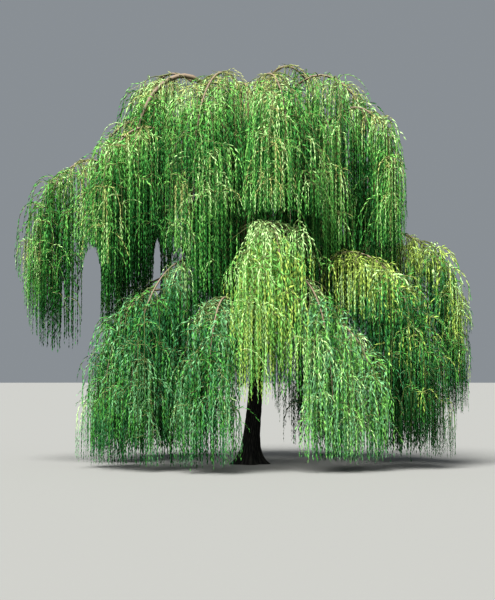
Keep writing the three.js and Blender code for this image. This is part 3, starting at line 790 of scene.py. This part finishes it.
def places_along(length, every):
    """(which path, place in metres) of points every so far along paths of these lengths."""
    every = np.broadcast_to(every, length.shape)
    owner, number = counted((length / every).astype(int))
    return owner, (number + 0.5) * every[owner]


def at_place(shoots, owner, place):
    """(point, way) at a place in metres along each owner's path, straight between its points."""
    steps = shoots.paths.shape[1] - 1
    walked = place / shoots.length[owner] * steps
    low = np.clip(walked.astype(int), 0, steps - 1)
    step = shoots.paths[owner, low + 1] - shoots.paths[owner, low]
    point = shoots.paths[owner, low] + step * (walked - low)[:, None]
    return point, step / np.linalg.norm(step, axis=1, keepdims=True)


def grow_branchlets(parents, every, margin, use, bare=0):
    """Whorls of branchlets every so far along these shoots. The branchlets of a whorl share its length
    and its tone, which is partly that of the tress, and their headings are evenly spread over the fan
    round the way out, each with a little chance added."""
    owner, place = places_along(parents.length, every)
    leafy = place > np.broadcast_to(bare, parents.length.shape)[owner]
    owner, place = owner[leafy], place[leafy]
    whorl = np.arange(len(owner))
    whorl_mass = parents.mass[owner]
    whorl_length = between(BRANCHLET["length"], chance(whorl_mass, whorl, use)) * longer[whorl_mass]
    whorl_luck = chance(whorl_mass, whorl, use + 1)
    whorl_tone = parents.tone[owner] * TRESS_TONE + whorl_luck * (1 - TRESS_TONE)
    whorl_size = between(BRANCHLET["size"], chance(whorl_mass, whorl, use + 7) ** 2)
    whorl_top = at_place(parents, owner, place)[0][:, 2]
    shoots = BRANCHLET["shoots"]
    whorl = np.repeat(whorl, shoots)
    spoke = np.tile(np.arange(shoots) / (shoots - 1) - 0.5, len(owner))
    number = np.arange(len(whorl))
    shoot_mass = whorl_mass[whorl]
    luck = [chance(shoot_mass, number, use + k) for k in range(2, 7)]
    shuffled = place[whorl] + (luck[0] - 0.5) * 2 * BRANCHLET["shuffle"]
    start, _ = at_place(parents, owner[whorl], shuffled)
    fan = BRANCHLET["fan"] * (spoke + (luck[1] - 0.5) / shoots)
    towards = np.arctan2(start[:, 1], start[:, 0]) + fan
    drop = start[:, 2] - hem[shoot_mass]
    wanted = np.minimum(whorl_length[whorl] * between(BRANCHLET["own_length"], luck[2]), drop)
    return grow(
        start, towards, between(BRANCHLET["pitch"], luck[3]),
        between(BRANCHLET["turning"], luck[4]) * whorl_size[whorl], wanted, shoot_mass,
        whorl_tone[whorl], whorl_top[whorl], dict(BRANCHLET, margin=margin),
    )[0]


def join(*parts):
    """The same arrays of several batches, end to end."""
    return [np.concatenate(together) for together in zip(*parts)]


first_ring = int((1 - BOUGH_END) * (BOUGH["rings"] - 1))
limb_ways = np.arange(COUNT), azimuth, np.full(COUNT, STEM_TONE), crest
bare = np.array([BARE.get(name, 0) for name in NAMES])
branchlets = Shoots(*join(
    grow_branchlets(withies, **ON_WITHIES, use=20),
    grow_branchlets(Shoots(stems, stem_length, *limb_ways), **ON_LIMBS, use=30, bare=bare),
    grow_branchlets(
        Shoots(bough_paths[:, first_ring:], BOUGH_END * bough_lengths, *limb_ways), **ON_LIMBS, use=40
    ),
))
print(len(branchlets.paths), "branchlets of", round(branchlets.length.mean(), 1), "m on average")

# %% [markdown]
# Strands
#
# The leaves of a weeping willow are on this year's strands, thin as string. They leave the arches of
# the branchlets, turned by the golden angle from one to the next, bend over within a hand's breadth
# and hang straight down, close together, as the streams of green that the tree is known for. Long
# ones stand further apart, so that every stream holds about as many leaves.

# %% Grow the strands
STRAND = dict(pitch=(-0.6, 0.5), turning=(0.02, 0.09), length=(0.6, 1.8), of_drop=(0.9, 1.0), steps=8,
              shortest=0.18, margin=-0.16, clearance=0.015, root=0.004, picked=[0, 1, 8])
EVERY_ON_BRANCHLET, EVERY_ON_WITHY = 0.5, 0.6
NEAR_ROOT = 1.5


def grow_strands(parents, every, use):
    """Strands every so far along these shoots, drawn towards the root by raising the share of the way
    to the power NEAR_ROOT, each turned by the golden angle from the one before."""
    owner, place = places_along(parents.length, every * longer[parents.mass])
    whole = parents.length[owner]
    place = whole * (place / whole) ** NEAR_ROOT
    start, _ = at_place(parents, owner, place)
    number = np.arange(len(owner))
    mass = parents.mass[owner]
    luck = [chance(mass, number, use + k) for k in range(4)]
    towards = parents.heading[owner] + number * GOLDEN_ANGLE + luck[0]
    drop = start[:, 2] - hem[mass]
    wanted = between(STRAND["length"], luck[1]) * longer[mass]
    wanted = np.minimum(wanted, drop * between(STRAND["of_drop"], luck[0]))
    pitch, turning = between(STRAND["pitch"], luck[2]), between(STRAND["turning"], luck[3])
    tone, top = parents.tone[owner], parents.top[owner]
    return grow(start, towards, pitch, turning, wanted, mass, tone, top, STRAND)[0]


strands = Shoots(*join(
    grow_strands(branchlets, EVERY_ON_BRANCHLET, 50), grow_strands(withies, EVERY_ON_WITHY, 55)
))
print(len(strands.paths), "strands,", round(strands.length.sum()), "m of them in all")

# %% [markdown]
# Wood finer than a thumb
#
# Stems are grey brown, withies olive, branchlets tan and strands green, because bark is greener the
# younger it is, so they are separate pieces with four finishes. Curves with a bevel would do, but
# arrays of three-sided shoots cost fewer faces and need no conversion.

# %% Twigs
STEM_SIDES, TWIG_SIDES = 6, 3
STRAND_PARTS = 2
TWIG_TAPER = 0.75
TWIG_SHINE = 0.35
TWIG_BARKS = dict(
    stem_bark=((126, 112, 96), 0.7), withy_bark=((92, 100, 58), 0.6),
    branchlet_bark=((148, 150, 100), 0.5), strand_bark=((78, 118, 42), 0.5),
)


def twigs(paths, root, sides):
    """(corners, faces) of shoots. The radius tapers evenly as far as the last ring, from which a shoot
    runs out to a point, and one flat face closes its root."""
    rings = paths.shape[1] - 1
    taper = 1 - TWIG_TAPER * np.linspace(0, 1, rings + 1)
    radii = np.reshape(root, (-1, 1)) * taper
    walls = rings_round(paths, radii[:, :, None], sides)[:, :-1]
    corners = np.concatenate([walls.reshape(len(paths), -1, 3), paths[:, -1:]], axis=1)
    return corners.reshape(-1, 3), tube_faces(len(paths), rings, sides, root_pole=False)


def twig_piece(name, paths, root, sides, bark):
    """One piece of all these shoots, in bark of one kind."""
    corners, faces = twigs(paths, root, sides)
    piece = make_piece(name, corners, faces, [bark])
    print(name, "has", sum(len(group) * (group.shape[1] - 2) for group in faces), "triangles")


stem_bark, withy_bark, branchlet_bark, strand_bark = [
    plain_material(name, linear(*colour), roughness, TWIG_SHINE)
    for name, (colour, roughness) in TWIG_BARKS.items()
]
stem_root = np.array([mass.get("tip", STEM["root"]) for mass in MASSES.values()])
twig_piece("stems", stems, stem_root, STEM_SIDES, stem_bark)
twig_piece("withies", withies.paths[:, WITHY["picked"]], withy_root, TWIG_SIDES, withy_bark)
branchlet_paths = branchlets.paths[:, BRANCHLET["picked"]]
twig_piece("branchlets", branchlet_paths, BRANCHLET["root"], TWIG_SIDES, branchlet_bark)
for part, paths in enumerate(np.array_split(strands.paths[:, STRAND["picked"]], STRAND_PARTS), start=1):
    twig_piece(f"strands_{part}", paths, STRAND["root"], TWIG_SIDES, strand_bark)

# %% [markdown]
# Leaves
#
# A willow leaf is a narrow lance, about six times as long as it is wide, folded a little along its rib
# and bent down at the tip. From where the viewer stands a leaf is only a few pixels long, so two
# triangles are enough, one on either side of the rib. The leaves are a little larger than life, which
# stands for those that are left out. Each points down its shoot and out within a fan round the light,
# which comes from above and away from the trunk, and is rolled a little by chance. In the shade
# inside a mass the leaves are fewer, longer and broader.

# %% Place the leaves
LEAF = dict(every=0.055, length=(0.08, 0.12), at_root=1.1, shrinks=0.35, width=0.18, widest=0.4,
            fold=0.1, droop=0.07, fan=0.5, upwards=0.6, spread=(0.08, 0.38), roll=(-0.6, 0.6),
            broader=0.6, longer=0.4, sparser=0.6)
SHADED_FROM, SHADED_WITHIN, SHADED_BELOW = 0.85, 0.4, 0.15

shoot_mass, shoot_tone, shoot_top, shoot_start = join(
    *[(shoots.mass, shoots.tone, shoots.top, shoots.paths[:, 0]) for shoots in (strands, branchlets)]
)
# down and shaded tell how low in its mass and how deep in its shade a shoot starts: they deal painted
# shade to the leaf colours, and shaded also makes the leaves sparser and larger.
down = (crest[shoot_mass] - shoot_start[:, 2]) / (crest - hem)[shoot_mass]
rim_place = rim_share(shoot_start)[np.arange(len(shoot_mass)), shoot_mass]
shaded = np.clip((SHADED_FROM - rim_place) / SHADED_WITHIN, 0, 1) * np.clip(down / SHADED_BELOW, 0, 1)


def leaves_along(shoots, shaded, use):
    """(corners, shoot) of the leaves along these shoots: corners has shape (leaves, 4, 3), in the
    order root, left edge, right edge, tip, and shoot says which shoot each leaf is on. Leaves stand
    apart and grow longer and broader by their shoot's part in the shade."""
    shoot, place = places_along(shoots.length, LEAF["every"] * (1 + LEAF["sparser"] * shaded))
    root, way = at_place(shoots, shoot, place)
    number = np.arange(len(shoot))
    luck = [chance(shoots.mass[shoot], number, use + k) for k in range(3)]
    turn = 2 * np.pi * LEAF["fan"] * ((number * GOLDEN + shoot * GOLDEN) % 1 - 0.5)
    light = root * [1, 1, 0] / np.hypot(root[:, 0], root[:, 1])[:, None] + [0, 0, LEAF["upwards"]]
    side = square_to(way, light)
    radial = np.cos(turn)[:, None] * side + np.sin(turn)[:, None] * np.cross(way, side)
    spread = between(LEAF["spread"], luck[0])[:, None]
    ahead = np.cos(spread) * way + np.sin(spread) * radial
    upper = np.cos(spread) * radial - np.sin(spread) * way
    roll = between(LEAF["roll"], luck[1])[:, None]
    across = np.cross(upper, ahead) * np.cos(roll) + upper * np.sin(roll)
    face = np.cross(ahead, across)
    in_shade = shaded[shoot][:, None]
    smaller = LEAF["at_root"] - LEAF["shrinks"] * place / shoots.length[shoot]
    size = (between(LEAF["length"], luck[2]) * smaller)[:, None] * (1 + LEAF["longer"] * in_shade)
    middle = root + LEAF["widest"] * size * ahead + LEAF["fold"] * LEAF["width"] * size * face
    edge = 0.5 * LEAF["width"] * (1 + LEAF["broader"] * in_shade) * size * across
    tip = root + size * ahead - LEAF["droop"] * size * face
    return np.stack([root, middle + edge, middle - edge, tip], axis=1), shoot


strand_count = len(strands.paths)
corners_on_branchlets, branchlet = leaves_along(branchlets, shaded[strand_count:], use=70)
leaf_corners, leaf_shoot = join(
    leaves_along(strands, shaded[:strand_count], use=60),
    (corners_on_branchlets, branchlet + strand_count),
)
leaf_mass = shoot_mass[leaf_shoot]
print(len(leaf_corners), "leaves")

# %% [markdown]
# Leaf colours
#
# Seen close, the greens of a willow differ from tress to tress: pale on the crests, partly young
# growth and partly painted highlight, golden in the mass before the trunk, and deep and bluish lower
# down, inside each mass and below each whorl's top as painted shade. An image or a noise would muddle
# when the many small faces are baked, so each leaf is dealt one plain colour out of the hand of its
# mass, which runs from pale to dark. The place in the hand is a sum: how far down its mass the shoot
# begins, the tone of its tress and whorl, its part in the shade, how far the leaf hangs below the top
# of its whorl, and a little luck. All but the tone and the luck are painted shade, and the real light
# and shadow between the leaves add to it.

# %% Shades and the dealing
# The shades run from pale, the painted highlight of the crests, to dark, the painted shade of the
# hollows; golden, olive, straw, silver and blue are tints.
SHADES = dict(
    pale=(176, 212, 146), fresh=(122, 182, 94), green=(80, 148, 68), meadow=(50, 116, 52),
    deep=(26, 88, 36), dark=(10, 60, 18), silver=(108, 160, 112), blue=(52, 110, 68),
    golden=(164, 190, 94), olive=(124, 168, 78), straw=(170, 176, 112),
)
HANDS = dict(
    crown="straw pale fresh green meadow deep dark",
    shoulder="straw pale fresh green meadow deep dark",
    front="pale fresh golden fresh olive green meadow",
    skirt="pale silver silver green blue deep dark",
    golden_skirt="golden pale golden green blue deep dark",
    slope="pale silver fresh silver green blue deep",
)
OTHER_HANDS = dict(
    skirt_right="golden_skirt", skirt_right_front="golden_skirt", skirt_front_right="slope"
)
LEAF_ROUGHNESS, LEAF_SHINE = 0.6, 0.2
# BY_TRESS weighs the leaves' own tone; BY_SHADE, BY_FALL and BY_DOWN weigh painted shade.
BY_TRESS, BY_SHADE, BY_FALL = 0.8, 0.35, 0.36
BY_DOWN = dict(crown=0.18, shoulder=0.18, front=0.1, skirt=0.18, slope=0.1, golden_skirt=0.85)
DEEPER = dict(crown=0.13, shoulder=0.12, front=-0.02, skirt=0.15, slope=0.0, golden_skirt=-0.02)
FALL = 1.3
JITTER = 0.16

leaf_materials = [
    plain_material(f"leaf_{name}", linear(*colour), LEAF_ROUGHNESS, LEAF_SHINE)
    for name, colour in SHADES.items()
]
hand_of = [OTHER_HANDS.get(name, kind) for name, kind in zip(NAMES, kinds)]
hands = np.array([[list(SHADES).index(name) for name in HANDS[hand].split()] for hand in hand_of])
jitter = JITTER * (chance(shoot_mass, np.arange(len(shoot_mass)), 90) - 0.5)
deeper, by_down = [np.array([by[hand] for hand in hand_of])[shoot_mass] for by in (DEEPER, BY_DOWN)]
# Down the mass, in its shade and below the whorl's top the leaves are dealt darker greens as painted
# shade.
shoot_depth = by_down * down + BY_TRESS * (shoot_tone - 0.5) + BY_SHADE * shaded + jitter + deeper
below = np.clip((shoot_top[leaf_shoot] - leaf_corners[:, 0, 2]) / FALL, 0, 1)
depth = shoot_depth[leaf_shoot] + BY_FALL * below
place = np.clip(depth * hands.shape[1], 0, hands.shape[1] - 1).astype(int)
leaf_shade = hands[leaf_mass, place]
print({name: int((leaf_shade == number).sum()) for number, name in enumerate(SHADES)}, "leaves")

# %% [markdown]
# Leaves as pieces
#
# One mesh of a million triangles would be awkward to handle, so the leaves of neighbouring masses of
# one kind go together in pieces under two hundred thousand triangles. Each piece stands for the
# solids of its masses.

# %% Leaf pieces
LEAVES_IN_A_PIECE = 90000
LEAF_CORNERS = 4
LEAF_FACES = np.array([[0, 1, 3], [0, 3, 2]])


def leaf_piece(name, masses):
    """One piece of all the leaves of these masses, each in its shade."""
    rows = np.flatnonzero(np.isin(leaf_mass, masses))
    faces = (np.arange(len(rows))[:, None, None] * LEAF_CORNERS + LEAF_FACES).reshape(-1, 3)
    corners = leaf_corners[rows].reshape(-1, 3)
    shade = np.repeat(leaf_shade[rows], len(LEAF_FACES))
    piece = make_piece(name, corners, [faces], leaf_materials, shade, smooth=False)
    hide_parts(*[f"foliage_{NAMES[mass]}" for mass in masses])
    print(name, "holds", len(rows), "leaves of", len(masses), "masses")


leaves_of_mass = np.bincount(leaf_mass, minlength=COUNT)
for kind in dict.fromkeys(kinds):
    members = [mass for mass in range(COUNT) if kinds[mass] == kind]
    parts = int(np.ceil(leaves_of_mass[members].sum() / LEAVES_IN_A_PIECE))
    for part, masses in enumerate(np.array_split(members, parts), start=1):
        leaf_piece(f"leaves_{kind}_{part}", masses)

# %% [markdown]
# Floor and light
#
# The picture's light comes down from a bright, lightly clouded sky: the crests shine and the hollows
# under them are nearly black. A faint pale sky and one large soft sun, high and a little to the left
# behind the viewer, give the same, with a little more contrast in the view. The floor is a plain pale
# disc just under the cut of the trunk, wide enough to reach the horizon from any side.

# %% Stage
FLOOR_RADIUS, FLOOR_SIDES, FLOOR_BELOW = 400, 96, 0.002
FLOOR_COLOUR = (0.2, 0.203, 0.2, 1)
FLOOR_ROUGHNESS, FLOOR_SHINE = 0.9, 0.5
SKY_COLOUR, SKY_STRENGTH = (0.86, 0.93, 1.0, 1), 0.28
SUN_COLOUR = (1.0, 0.98, 0.93)
SUN = dict(energy=8.6, angle=np.radians(35), tilt=np.radians(30), turn=np.radians(-25))

floor_mesh = bpy.data.meshes.new("floor")
turn = angles_round(FLOOR_SIDES)
rim = FLOOR_RADIUS * np.stack([np.cos(turn), np.sin(turn), 0 * turn], axis=1) - [0, 0, FLOOR_BELOW]
floor_mesh.from_pydata(rim.tolist(), [], [list(range(len(rim)))])
floor_mesh.materials.append(plain_material("pale_floor", FLOOR_COLOUR, FLOOR_ROUGHNESS, FLOOR_SHINE))
floor = add_object("floor", floor_mesh)

sky = bpy.data.worlds.new("pale_sky")
sky.use_nodes = True
background = sky.node_tree.nodes["Background"].inputs
background["Color"].default_value = SKY_COLOUR
background["Strength"].default_value = SKY_STRENGTH
scene.world = sky

sun_data = bpy.data.lights.new("sun", "SUN")
sun_data.energy = SUN["energy"]
sun_data.angle = SUN["angle"]
sun_data.color = SUN_COLOUR
sun = add_object("sun", sun_data)
sun.rotation_euler = (SUN["tilt"], 0, SUN["turn"])
scene.view_settings.view_transform = "Standard"
scene.view_settings.look = "Medium High Contrast"
print("Stage is set")
